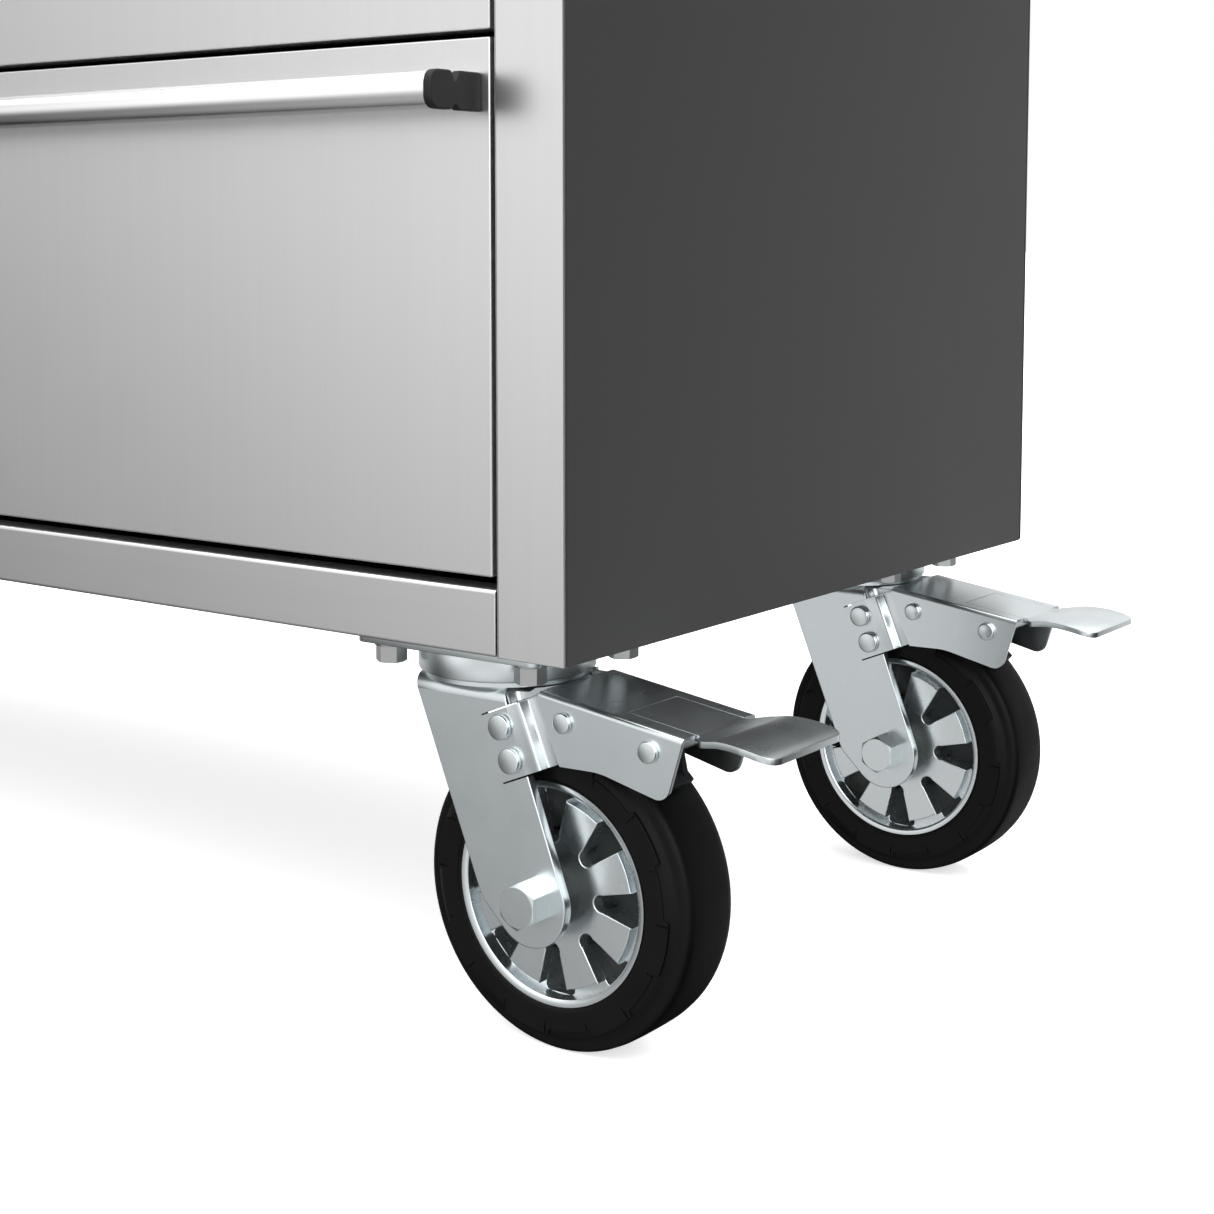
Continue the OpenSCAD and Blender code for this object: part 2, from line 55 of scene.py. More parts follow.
SHARP_ANGLE = 38  # edges that turn by more than this, in degrees, are shaded sharp

# ---- shapes ----


def shifted(x=0.0, y=0.0, z=0.0):
    """The matrix of a move."""
    return Matrix.Translation((x, y, z))


def turned(degrees, axis):
    """The matrix of a turn about X, Y or Z."""
    return Matrix.Rotation(math.radians(degrees), 4, axis)


# Plates are drawn in X and Y with their thickness up Z; these stand them up.
FACING_FRONT = turned(90, "X")  # drawn X stays X, drawn Y goes to Z, thickness goes to -Y
ALONG_X = Matrix(((0, 0, 1, 0), (1, 0, 0, 0), (0, 1, 0, 0), (0, 0, 0, 1)))  # drawn X, Y go to Y, Z
UPSIDE_DOWN = turned(180, "X")
MIRROR_X = Matrix.Scale(-1, 4, (1, 0, 0))
MIRROR_Y = Matrix.Scale(-1, 4, (0, 1, 0))


def moved(shape, matrix):
    """Moves a shape and hands it back."""
    bmesh.ops.transform(shape, matrix=matrix, verts=shape.verts)
    return shape


def joined(*shapes):
    """One shape made of several, which it uses up."""
    whole = bmesh.new()
    for shape in shapes:
        mesh = bpy.data.meshes.new("part")
        shape.to_mesh(mesh)
        shape.free()
        whole.from_mesh(mesh)
        bpy.data.meshes.remove(mesh)
    return whole


def copied(shape, *matrices):
    """Copies of a shape, one for each matrix, as one shape."""
    copies = []
    for matrix in matrices:
        copies.append(moved(shape.copy(), matrix))
    shape.free()
    return joined(*copies)


def arc(centre, radius, start, end, steps=8):
    """Points along an arc, from one angle to another in degrees."""
    angles = [math.radians(start + (end - start) * k / steps) for k in range(steps + 1)]
    return [(centre[0] + radius * math.cos(a), centre[1] + radius * math.sin(a)) for a in angles]


def circle(radius, centre=(0, 0), steps=48):
    """Points round a circle."""
    return arc(centre, radius, 0, 360 * (steps - 1) / steps, steps - 1)


def rectangle(x0, y0, x1, y1):
    """The corners of a rectangle."""
    return [(x0, y0), (x1, y0), (x1, y1), (x0, y1)]


def rounded(corners, radius, steps=5):
    """A closed outline with rounded corners. A corner may bring its own radius as a third number."""
    points = []
    for i, corner in enumerate(corners):
        here = Vector(corner[:2])
        own = corner[2] if len(corner) > 2 else radius
        back = Vector(corners[i - 1][:2]) - here
        ahead = Vector(corners[(i + 1) % len(corners)][:2]) - here
        half = back.angle(ahead) / 2
        if own <= 0 or half > 1.55:
            points.append(tuple(here))
            continue
        reach = min(own / math.tan(half), 0.49 * min(back.length, ahead.length))
        own = reach * math.tan(half)
        centre = here + (back.normalized() + ahead.normalized()).normalized() * own / math.sin(half)
        first = here + back.normalized() * reach - centre
        last = here + ahead.normalized() * reach - centre
        sweep = first.angle(last)
        for k in range(steps + 1):
            share = k / steps
            point = first * math.sin((1 - share) * sweep) + last * math.sin(share * sweep)
            points.append(tuple(centre + point / math.sin(sweep)))
    return points


def area(loop):
    """The area inside a closed loop, positive if it turns counter-clockwise."""
    return sum(a[0] * b[1] - b[0] * a[1] for a, b in zip(loop, loop[1:] + loop[:1])) / 2


def inset(loop, distance):
    """A closed loop moved to its left by a distance: inwards if it turns counter-clockwise."""
    result = []
    for i, here in enumerate(loop):
        here = Vector(here)
        before = (here - Vector(loop[i - 1])).normalized()
        after = (Vector(loop[(i + 1) % len(loop)]) - here).normalized()
        left = Vector((-before.y, before.x))
        middle = (left + Vector((-after.y, after.x))).normalized()
        result.append(here + middle * distance / max(0.35, middle.dot(left)))
    return result


def stack(outline, levels, holes=()):
    """A solid drawn as an outline at several (height, inset) levels, capped at the first and the last."""
    loops = [outline if area(outline) > 0 else outline[::-1]]
    loops += [hole if area(hole) < 0 else hole[::-1] for hole in holes]
    shape = bmesh.new()
    rings = []
    for height, distance in levels:
        placed = [inset(loop, distance) for loop in loops]
        rings.append([[shape.verts.new((p.x, p.y, height)) for p in loop] for loop in placed])
    for low, high in zip(rings, rings[1:]):
        for a, b in zip(low, high):
            for i in range(len(a)):
                shape.faces.new((a[i - 1], a[i], b[i], b[i - 1])).smooth = True
    for ring in (rings[0], rings[-1]):
        if len(ring) == 1:
            shape.faces.new(ring[0])
            continue
        flat = [v for loop in ring for v in loop]
        for triangle in tessellate_polygon([[v.co for v in loop] for loop in ring]):
            shape.faces.new([flat[i] for i in triangle])
    return shape


def rounding(edge, steps=3):
    """(height, inset) of a rounded edge that rises from a flat face to an upright side."""
    angles = [math.pi / 2 * k / steps for k in range(steps + 1)]
    return [(edge * (1 - math.cos(a)), edge * (1 - math.sin(a))) for a in angles]


def plate(outline, thickness, edge=0.4, holes=()):
    """A flat plate from Z 0 up to its thickness, with rounded edges."""
    low = rounding(edge)
    high = [(thickness - z, distance) for z, distance in reversed(low)]
    return stack(outline, low + high, holes)


def pan(outline, depth, wall, edge=0.8, hem=0.0, hem_depth=0.0):
    """A shallow box, open below, with rounded outer edges and an optional thicker rim."""
    levels = [(depth - wall, wall)]
    if hem:
        levels += [(hem_depth, wall), (hem_depth, hem)]
    levels += [(0, max(hem, wall) - 0.2), (0, 0.2), (0.2, 0)]
    levels += [(depth - z, distance) for z, distance in reversed(rounding(edge))]
    return stack(outline, levels)


def sheet(path, thickness, bend):
    """The outline of a folded sheet: a path, and the same path moved to its left by the thickness."""
    points = [Vector(p) for p in path]
    normals = []
    for a, b in zip(points, points[1:]):
        along = (b - a).normalized()
        normals.append(Vector((-along.y, along.x)))
    outer, inner = [], []
    for i, point in enumerate(points):
        before = normals[max(i - 1, 0)]
        after = normals[min(i, len(normals) - 1)]
        middle = (before + after).normalized()
        turns_right = before.cross(after) < 0
        radii = (bend, bend + thickness) if turns_right else (bend + thickness, bend)
        if i in (0, len(points) - 1):
            radii = (0, 0)
        outer.append((*point, radii[0]))
        inner.append((*(point + middle * thickness / middle.dot(before)), radii[1]))
    return rounded(outer + inner[::-1], 0)


def revolve(profile, steps=96):
    """A closed profile of (radius, height) points turned about Z."""
    shape = bmesh.new()
    rings = []
    for k in range(steps):
        a = 2 * math.pi * k / steps
        rings.append([shape.verts.new((r * math.cos(a), r * math.sin(a), z)) for r, z in profile])
    for k in range(steps):
        a, b = rings[k - 1], rings[k]
        for i in range(len(profile)):
            if max(profile[i - 1][0], profile[i][0]) > 1e-6:
                shape.faces.new((a[i - 1], b[i - 1], b[i], a[i])).smooth = True
    bmesh.ops.remove_doubles(shape, verts=shape.verts, dist=1e-4)
    return shape


def rod(radius, length, edge=0.5):
    """A round bar from Z 0 up, with rounded ends."""
    ends = rounding(edge)
    profile = [(0, 0)] + [(radius - distance, z) for z, distance in ends]
    profile += [(radius - distance, length - z) for z, distance in reversed(ends)] + [(0, length)]
    return revolve(profile, 64)


def ring(inner, outer, height, edge=0.4):
    """A flat ring from Z 0 up, with rounded edges."""
    ends = rounding(edge)
    profile = [(outer - distance, z) for z, distance in ends]
    profile += [(outer - distance, height - z) for z, distance in reversed(ends)]
    profile += [(inner + distance, height - z) for z, distance in ends]
    profile += [(inner + distance, z) for z, distance in reversed(ends)]
    return revolve(profile)


def hex_nut(across_flats, height, bore=0.0):
    """A hexagon nut or bolt head from Z 0 up: flat below, its corners chamfered above."""
    shape = bmesh.new()
    chamfer_r = across_flats * 0.485
    bore_chamfer = 0.8
    steps = 72
    rings = []
    for k in range(steps):
        a = 2 * math.pi * k / steps
        side = across_flats / 2 / math.cos((a + math.pi / 6) % (math.pi / 3) - math.pi / 6)
        top = height - (side - chamfer_r) * 0.5
        column = [(bore, 0), (side, 0), (side, top), (chamfer_r, height)]
        if bore:
            column += [(bore + bore_chamfer, height), (bore, height - bore_chamfer)]
        else:
            column += [(0, height)]
        rings.append([shape.verts.new((r * math.cos(a), r * math.sin(a), z)) for r, z in column])
    for k in range(steps):
        a, b = rings[k - 1], rings[k]
        for i in range(len(a) if bore else len(a) - 1):
            j = (i + 1) % len(a)
            shape.faces.new((a[i], b[i], b[j], a[j]))
    bmesh.ops.remove_doubles(shape, verts=shape.verts, dist=1e-4)
    return shape


def fold(shape, start, direction, radius, thickness):
    """Bends what lies past a line of a flat plate down by a right angle, on an inside radius."""
    normal = Vector((*direction, 0)).normalized()
    origin = Vector((*start, 0))
    turn = math.pi / 2
    length = turn * (radius + thickness / 2)
    steps = 10
    for k in range(steps + 1):
        geometry = shape.verts[:] + shape.edges[:] + shape.faces[:]
        bmesh.ops.bisect_plane(shape, geom=geometry, dist=1e-5, plane_no=normal,
                               plane_co=origin + normal * length * k / steps)
    for face in shape.faces:
        past = (face.calc_center_median() - origin).dot(normal)
        face.smooth = face.smooth or 0 < past < length
    for v in shape.verts:
        past = (v.co - origin).dot(normal)
        if past <= 0:
            continue
        arm = v.co.z + radius
        at = min(past / length, 1) * turn
        beyond = max(past - length, 0)
        across = arm * math.sin(at) + beyond * math.cos(at)
        v.co += normal * (across - past)
        v.co.z = -radius + arm * math.cos(at) - beyond * math.sin(at)
    return shape


def combined(shape, tool, operation):
    """The result of an exact boolean between two closed shapes, which it uses up."""
    meshes, carriers = [], []
    for part in (shape, tool):
        bmesh.ops.recalc_face_normals(part, faces=part.faces)
        mesh = bpy.data.meshes.new("work")
        part.to_mesh(mesh)
        part.free()
        carrier = bpy.data.objects.new("work", mesh)
        scene.collection.objects.link(carrier)
        meshes.append(mesh)
        carriers.append(carrier)
    modifier = carriers[0].modifiers.new("work", "BOOLEAN")
    modifier.operation = operation
    modifier.solver = "EXACT"
    modifier.object = carriers[1]
    graph = bpy.context.evaluated_depsgraph_get()
    meshes.append(bpy.data.meshes.new_from_object(carriers[0].evaluated_get(graph)))
    result = bmesh.new()
    result.from_mesh(meshes[-1])
    for carrier in carriers:
        bpy.data.objects.remove(carrier)
    for mesh in meshes:
        bpy.data.meshes.remove(mesh)
    return result


def cut(shape, tool):
    """The shape less another one."""
    return combined(shape, tool, "DIFFERENCE")


def united(shape, tool):
    """The shape and another one as a single skin."""
    return combined(shape, tool, "UNION")


def mesh_of(name, shape, material):
    """The finished mesh, in metres."""
    bmesh.ops.recalc_face_normals(shape, faces=shape.faces)
    for face in shape.faces:
        if face.calc_area() > BROAD * max(edge.calc_length() for edge in face.edges):
            face.smooth = False
    moved(shape, Matrix.Scale(MM, 4))
    mesh = bpy.data.meshes.new(name)
    shape.to_mesh(mesh)
    shape.free()
    mesh.materials.append(material)
    smooth_faces = [face.use_smooth for face in mesh.polygons]
    mesh.set_sharp_from_angle(angle=math.radians(SHARP_ANGLE))
    mesh.polygons.foreach_set("use_smooth", smooth_faces)  # the line above makes every face smooth
    return mesh


def place(name, mesh, body, matrix=None, stands_for=()):
    """Puts a mesh on a body. The matrix is in millimetres."""
    piece = bpy.data.objects.new(name, mesh)
    scene.collection.objects.link(piece)
    if matrix is not None:
        matrix = matrix.copy()
        matrix.translation = matrix.translation * MM
        piece.matrix_world = matrix
    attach(piece, body)
    if stands_for:
        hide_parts(*stands_for)


def piece(name, shape, look, body, matrix=None, stands_for=()):
    """Makes a visible piece of a shape."""
    material, slot = look
    place(name, mesh_of(name, shape, material), body, matrix, stands_for)


def box_mm(node):
    """The low and the high corner of a CAD node."""
    low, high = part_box(node)
    return low / MM, high / MM


# ---- materials ----


def new_node(tree, kind, **settings):
    """A shader node with its settings."""
    made = tree.nodes.new(kind)
    for key, value in settings.items():
        setattr(made, key, value)
    return made


def map_range(tree, value, source, target, **settings):
    """A value mapped from one range to another."""
    ranged = new_node(tree, "ShaderNodeMapRange", **settings)
    for socket, number in zip(("From Min", "From Max", "To Min", "To Max"), (*source, *target)):
        ranged.inputs[socket].default_value = number
    tree.links.new(value, ranged.inputs["Value"])
    return ranged.outputs["Result"]


class Look:
    """A material under construction: nodes by short calls."""

    def __init__(self, name, colour, roughness, metallic=0.0, **sockets):
        self.material = bpy.data.materials.new(name)
        self.material.use_nodes = True
        self.tree = self.material.node_tree
        self.shader = self.tree.nodes["Principled BSDF"]
        self.shader.inputs["Base Color"].default_value = (*colour, 1)
        self.shader.inputs["Roughness"].default_value = roughness
        self.shader.inputs["Metallic"].default_value = metallic
        for socket, value in sockets.items():
            self.shader.inputs[socket.replace("_", " ")].default_value = value
        self.colour = colour

    def node(self, kind, **settings):
        return new_node(self.tree, kind, **settings)

    def link(self, output, socket):
        self.tree.links.new(output, socket)

    def noise(self, scale, detail=2.0, roughness=0.5):
        """A noise in millimetres: scale is the size of a feature along X, Y and Z."""
        coordinates = self.node("ShaderNodeTexCoord")
        mapping = self.node("ShaderNodeMapping")
        mapping.inputs["Scale"].default_value = [1 / (s * MM) for s in scale]
        self.link(coordinates.outputs["Object"], mapping.inputs["Vector"])
        texture = self.node("ShaderNodeTexNoise")
        texture.inputs["Scale"].default_value = 1
        texture.inputs["Detail"].default_value = detail
        texture.inputs["Roughness"].default_value = roughness
        self.link(mapping.outputs[0], texture.inputs["Vector"])
        return texture.outputs["Fac"]

    def spread(self, value, low, high):
        """Maps the middle range of a noise to low..high."""
        return map_range(self.tree, value, (0.3, 0.7), (low, high))

    def vary_colour(self, value, darkest, lightest):
        """Multiplies the colour by a noise."""
        mix = self.node("ShaderNodeMix", data_type="RGBA", blend_type="MULTIPLY")
        mix.inputs["Factor"].default_value = 1
        socket = self.shader.inputs["Base Color"]
        if socket.is_linked:
            self.link(socket.links[0].from_socket, mix.inputs["A"])
        else:
            mix.inputs["A"].default_value = (*self.colour, 1)
        self.link(self.spread(value, darkest, lightest), mix.inputs["B"])
        self.link(mix.outputs["Result"], socket)

    def vary_roughness(self, value, low, high):
        """Spreads the roughness over a noise."""
        self.link(self.spread(value, low, high), self.shader.inputs["Roughness"])

    def bump(self, value, depth_mm):
        """Gives the surface a fine relief."""
        bump = self.node("ShaderNodeBump")
        bump.inputs["Distance"].default_value = depth_mm * MM
        bump.inputs["Strength"].default_value = 1
        self.link(value, bump.inputs["Height"])
        self.link(bump.outputs["Normal"], self.shader.inputs["Normal"])


def brushed(name, colour, grain, roughness=(0.33, 0.35), streak=0.012, depth=0.0005):
    """Brushed or drawn metal. grain is the size of a scratch along X, Y and Z in millimetres."""
    look = Look(name, colour, sum(roughness) / 2, metallic=1.0)
    fine = look.noise(grain, detail=3.0, roughness=0.6)
    broad = look.noise([g * 9 for g in grain], detail=1.0)
    stain = look.noise((60, 60, 60), detail=3.0)
    look.vary_colour(fine, 1 - streak, 1 + streak)
    look.vary_colour(broad, 1 - streak / 2, 1 + streak / 2)
    look.vary_roughness(stain, *roughness)
    look.bump(fine, depth)
    return look.material


def powder_coat(name, colour, roughness=(0.42, 0.46), grain=0.9, depth=0.02):
    """Painted sheet with a fine orange peel."""
    look = Look(name, colour, sum(roughness) / 2)
    peel = look.noise((grain,) * 3)
    cloud = look.noise((90,) * 3)
    look.vary_colour(cloud, 0.98, 1.02)
    look.vary_roughness(cloud, *roughness)
    look.bump(peel, depth)
    return look.material


def plated(name, colour, roughness=(0.27, 0.3), streak=0.01):
    """Zinc plate over rolled steel: a faint mottle and rolling grain."""
    look = Look(name, colour, sum(roughness) / 2, metallic=1.0)
    mottle = look.noise((16, 16, 16))
    rolled = look.noise((3, 3, 50))
    look.vary_colour(mottle, 1 - streak, 1 + streak)
    look.vary_colour(rolled, 1 - streak / 3, 1 + streak / 3)
    look.vary_roughness(mottle, *roughness)
    look.bump(rolled, 0.0003)
    return look.material


def moulded(name, colour, roughness=(0.45, 0.6), grain=0.5, depth=0.01, specular=0.3):
    """Moulded plastic or rubber with a fine spark-eroded grain."""
    look = Look(name, colour, sum(roughness) / 2, Specular_IOR_Level=specular)
    grains = look.noise((grain,) * 3)
    cloud = look.noise((25,) * 3)
    look.vary_colour(cloud, 0.85, 1.15)
    look.vary_roughness(cloud, *roughness)
    look.bump(grains, depth)
    return look.material


# Each look is a material and the name of a slot.
STAINLESS = (brushed("stainless", (0.78, 0.78, 0.78), (0.6, 0.6, 60)), "stainless")
STAINLESS_FLAT = (brushed("stainless_flat", (0.78, 0.78, 0.78), (60, 0.6, 0.6)), "stainless")
SATIN = {"roughness": (0.2, 0.26), "streak": 0.01, "depth": 0.0004}
TUBE = (brushed("tube", (0.9, 0.9, 0.9), (80, 0.5, 0.5), **SATIN), "stainless_tube")
PUSH_TUBE = (brushed("push_tube", (0.9, 0.9, 0.9), (0.5, 80, 0.5), **SATIN), "stainless_tube")
DARK_PAINT = (powder_coat("dark_paint", (0.045, 0.045, 0.046)), "dark_paint")
DRAWER_PAINT = (powder_coat("drawer_paint", (0.05, 0.05, 0.051), (0.45, 0.55)), "drawer_paint")
BLACK = (moulded("black_bracket", (0.012, 0.012, 0.012)), "black_bracket")
ZINC = (plated("zinc_plate", (0.72, 0.77, 0.785)), "zinc_plate")
WHEEL = (plated("wheel_metal", (0.72, 0.76, 0.775), (0.26, 0.29)), "wheel_metal")
# Near-black painted shade: it darkens the hub sleeve, the web behind the wheel's windows and the pedal's
# arms, where shade falls.
PAINTED_SHADE = (moulded("wheel_recess", (0.02, 0.024, 0.023), (0.35, 0.5)), "wheel_recess")
RUBBER = (moulded("tyre", (0.0032, 0.0032, 0.0032), (0.46, 0.56), grain=0.8, specular=0.14), "tyre")
# A darker copy of the fastener steel: painted shade on the plate bolts under the base and on the bearings
# in the hub.
SHADED_FASTENER = (plated("fastener_steel", (0.45, 0.46, 0.46), (0.28, 0.38)), "fastener_steel")
RIVET = (plated("rivet_steel", (0.74, 0.79, 0.8), (0.22, 0.27)), "fastener_steel")
SLIDE = (plated("slide_steel", (0.62, 0.63, 0.63), (0.3, 0.4)), "slide_steel")
CHROME = (plated("lock_chrome", (0.75, 0.75, 0.76), (0.12, 0.2), streak=0.02), "lock_chrome")
LINER = (moulded("liner", (0.016, 0.016, 0.016), (0.6, 0.75), grain=1.2, depth=0.06), "liner")

# ---- driving sizes, from the frame ----

post_low, post_high = box_mm("corner_posts")
half_w = post_high.x
face_y = post_low.y
base_z = post_low.z
cabinet_top = post_high.z
back_y = box_mm("back_panel")[1].y
DRAWERS = 5
SHEET = 1.2
POST_W = 37.2
RETURN_D = 14.0
SLIDE_W = 12.7  # one drawer slide, between the drawer's box and the opening
opening_half = half_w - POST_W
box_half = opening_half - SLIDE_W

# ---- cabinet ----


def corner_posts():
    """Two folded posts, each with a return beside the drawers and a rounded outer corner."""
    path = [(opening_half, face_y + RETURN_D), (opening_half, face_y), (half_w, face_y)]
    outline = sheet(path, SHEET, 0.5)
    right = moved(plate(outline, cabinet_top - base_z, 0.35), shifted(z=base_z))
    left = moved(right.copy(), MIRROR_X)
    lock_low, lock_high = box_mm("lock_body")
    middle = (lock_low + lock_high) / 2
    hole = moved(rod(9.8, 8), shifted(middle.x, face_y + 4, middle.z) @ FACING_FRONT)
    piece("front_posts", joined(left, cut(right, hole)), STAINLESS, "cabinet", stands_for=["corner_posts"])


def front_rail(name, node):
    """A U-shaped rail between the posts."""
    low, high = box_mm(node)
    path = [(high.y, low.z), (low.y, low.z), (low.y, high.z), (high.y, high.z)]
    outline = sheet(path[::-1], SHEET, 0.6)
    shape = moved(plate(outline, high.x - low.x, 0.3), shifted(x=low.x) @ ALONG_X)
    piece(name, shape, STAINLESS_FLAT, "cabinet", stands_for=[node])


def side_panel(node, mirror):
    """The painted side, with its flange behind the post and a return at the back."""
    front, back = face_y + SHEET, back_y - SHEET
    path = [(opening_half + 2, front), (half_w, front), (half_w, back), (half_w - 18, back)]
    outline = sheet(path, SHEET, 0.5)
    shape = moved(plate(outline, cabinet_top - base_z, 0.35), shifted(z=base_z))
    if mirror:
        moved(shape, MIRROR_X)
    piece(node + "_skin", shape, DARK_PAINT, "cabinet", stands_for=[node])


def back_panel():
    """The painted back: a flat sheet held by rows of blind rivets."""
    low, high = box_mm("back_panel")
    outline = rectangle(low.x, low.z, high.x, high.z)
    skin = moved(plate(rounded(outline, 1.5), SHEET, 0.35), shifted(y=high.y) @ FACING_FRONT)
    piece("back_skin", skin, DARK_PAINT, "cabinet", stands_for=["back_panel"])
    rivets = []
    left, right = low.x + 9, high.x - 9
    for k in range(7):
        z = low.z + 20 + (high.z - low.z - 40) * k / 6
        rivets += [(left, z), (right, z)]
    for k in range(1, 8):
        x = left + (right - left) * k / 8
        rivets += [(x, low.z + 12), (x, high.z - 12)]
    head = revolve([(0, 0), (4.2, 0), (4.2, 0.4), (2.6, 1.1), (1.2, 1.2), (1.0, 0.8), (0, 0.8)], 24)
    spots = [shifted(x, high.y - 0.05, z) @ turned(-90, "X") for x, z in rivets]
    piece("back_rivets", copied(head, *spots), DARK_PAINT, "cabinet")


def ribbed(length, width, pitch, base, rib):
    """A ribbed mat: X along its ribs, Y across them, from Z 0 up."""
    count = int(width / pitch)
    start = -count * pitch / 2
    path = [(start, 0)]
    for k in range(count):
        x = start + k * pitch
        path += [(x, base), (x + pitch * 0.25, base + rib)]
        path += [(x + pitch * 0.6, base + rib), (x + pitch * 0.85, base)]
    path += [(start + count * pitch, base), (start + count * pitch, 0)]
    return moved(plate(path, length, 0.15), shifted(x=-length / 2) @ ALONG_X)


def top_tray():
    """The tray on top, and the ribbed mat in it."""
    low, high = box_mm("top_tray")
    size = high - low
    outline = rounded(rectangle(low.x, low.y, high.x, high.y), 3.0)
    shape = pan([(x, -y) for x, y in outline], size.z, 1.6, 1.2, hem=2.4, hem_depth=7)
    moved(shape, shifted(z=high.z) @ UPSIDE_DOWN)
    piece("tray", shape, STAINLESS_FLAT, "cabinet", stands_for=["top_tray"])
    mat = ribbed(size.x - 8, size.y - 8, 6, 1.6, 0.9)
    centre = (low + high) / 2
    piece("tray_mat", mat, LINER, "cabinet", shifted(centre.x, centre.y, low.z + 1.7))


def dress(node, look, bevel):
    """A CAD node keeps its shape and gets a material and softer edges."""
    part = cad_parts[node]
    material, slot = look
    part.data.materials.clear()
    part.data.materials.append(material)
    weld = part.modifiers.new("weld", "WELD")
    weld.merge_threshold = 1e-5
    soft = part.modifiers.new("soft_edges", "BEVEL")
    soft.width = bevel * MM
    soft.segments = 2
    soft.limit_method = "ANGLE"
    soft.angle_limit = math.radians(50)


corner_posts()
front_rail("bottom_front_rail", "bottom_rail")
front_rail("top_front_rail", "top_rail")
side_panel("side_panel_right", False)
side_panel("side_panel_left", True)
back_panel()
top_tray()
dress("base_pan", DARK_PAINT, 0.4)
dress("slide_uprights", SLIDE, 0.3)
dress("slide_outer_members", SLIDE, 0.3)
dress("lock_bar", SLIDE, 0.3)

# ---- drawers ----


def handle_bracket_outline(reach, half, foot, notch):
    """End bracket from the side: a lobe round the tube, a foot on the face, a V notch above and below."""
    v = foot + 1.6
    end = -reach - half
    return rounded([(0, -half), (0, half, 1.5), (1.2 - foot, half, 1.8), (-v, half - notch, 0.5),
                    (-v - 2.2, half, 2.5), (end, half, 5.5), (end, -half, 5.5), (-v - 2.2, -half, 2.5),
                    (-v, notch / 2 - half, 0.5), (1.2 - foot, -half, 1.8)], 1.2)


def drawer(i):
    """One drawer: its face, its tube handle and its box."""
    body = f"drawer_{i}"
    drawer_face(i, body)
    drawer_handle(i, body)
    dress(f"drawer_{i}_slides", SLIDE, 0.3)
    drawer_box(i, body)


def drawer_face(i, body):
    """The stainless front, hollow behind."""
    low, high = box_mm(f"drawer_{i}_front")
    size = high - low
    front = pan(rounded(rectangle(low.x, low.z, high.x, high.z), 0.8), size.y, SHEET, 0.7)
    piece(f"drawer_{i}_face", moved(front, shifted(y=high.y) @ FACING_FRONT), STAINLESS, body,
          stands_for=[f"drawer_{i}_front"])


def drawer_handle(i, body):
    """A tube between two black end brackets."""
    low, high = box_mm(f"drawer_{i}_handle")
    bracket_t, lobe = 4.4, 0.3
    axis_z = (low.z + high.z) / 2
    tube_r = (high.z - low.z) / 2 - lobe
    axis_y = low.y + tube_r + lobe
    tube = moved(rod(tube_r, high.x - low.x - 6, 0.4), shifted(low.x + 3, axis_y, axis_z) @ turned(90, "Y"))
    piece(f"drawer_{i}_tube", tube, TUBE, body, stands_for=[f"drawer_{i}_handle"])
    outline = handle_bracket_outline(high.y - axis_y, tube_r + lobe, 15.5, 5.0)
    bracket = moved(plate(outline, bracket_t, 0.7), ALONG_X)
    ends = [shifted(x, high.y, axis_z) for x in (low.x, high.x - bracket_t)]
    piece(f"drawer_{i}_handle_ends", copied(bracket, *ends), BLACK, body)


def drawer_box(i, body):
    """The painted box with its liner, the slides' inner members and the catch for the locking bar."""
    low, high = box_mm(f"drawer_{i}_box")
    outline = rounded(rectangle(-box_half, low.y, box_half, high.y), 1.5)
    size = high - low
    shell = pan([(x, -y) for x, y in outline], size.z, 1.0, 1.0, hem=2.2, hem_depth=8)
    moved(shell, shifted(z=high.z) @ UPSIDE_DOWN)
    piece(f"drawer_{i}_shell", shell, DRAWER_PAINT, body, stands_for=[f"drawer_{i}_box"])
    liner = ribbed(2 * box_half - 8, size.y - 8, 5, 1.2, 0.7)
    piece(f"drawer_{i}_liner", liner, LINER, body, shifted(0, (low.y + high.y) / 2, low.z + 1.1))
    slide_low, slide_high = box_mm(f"drawer_{i}_slides")
    middle_z = (slide_low.z + slide_high.z) / 2
    member_w, member_half = 8.1, 9.5
    path = [(member_w, -member_half), (0, -member_half), (0, member_half), (member_w, member_half)]
    member = plate(sheet(path[::-1], SHEET, 0.6), slide_high.y - slide_low.y, 0.25)
    moved(member, turned(90, "X"))
    right = shifted(box_half, slide_high.y, middle_z)
    left = MIRROR_X @ right
    piece(f"drawer_{i}_inner_slides", copied(member, left, right), SLIDE, body)
    bar_y = box_mm("lock_bar")[1].y
    catch_w, catch_z = 9.7, low.z + 40
    catch = plate(rectangle(box_half, catch_z, box_half + catch_w, catch_z + 12), 2, 0.3)
    piece(f"drawer_{i}_catch", moved(catch, shifted(y=bar_y + 5) @ FACING_FRONT), SLIDE, body)


for number in range(1, DRAWERS + 1):
    drawer(number)

# ---- push handle and lock ----


def push_handle():
    """A tube along the right side between two black end brackets."""
    low, high = box_mm("push_handle")
    tube_r, lobe, bracket_t = 12.7, 1.5, 8
    axis_x = high.x - tube_r - lobe
    axis_z = (low.z + high.z) / 2
    tube = rod(tube_r, high.y - low.y - bracket_t, 0.6)
    moved(tube, shifted(axis_x, low.y + bracket_t / 2, axis_z) @ turned(-90, "X"))
    piece("push_tube", tube, PUSH_TUBE, "cabinet", stands_for=["push_handle"])
    outline = handle_bracket_outline(axis_x - half_w, tube_r + lobe, 22, 8)
    bracket = moved(plate(outline, bracket_t, 1.0), turned(180, "Z") @ FACING_FRONT)
    ends = [shifted(half_w, y, axis_z) for y in (low.y, high.y - bracket_t)]
    piece("push_handle_ends", copied(bracket, *ends), BLACK, "cabinet")


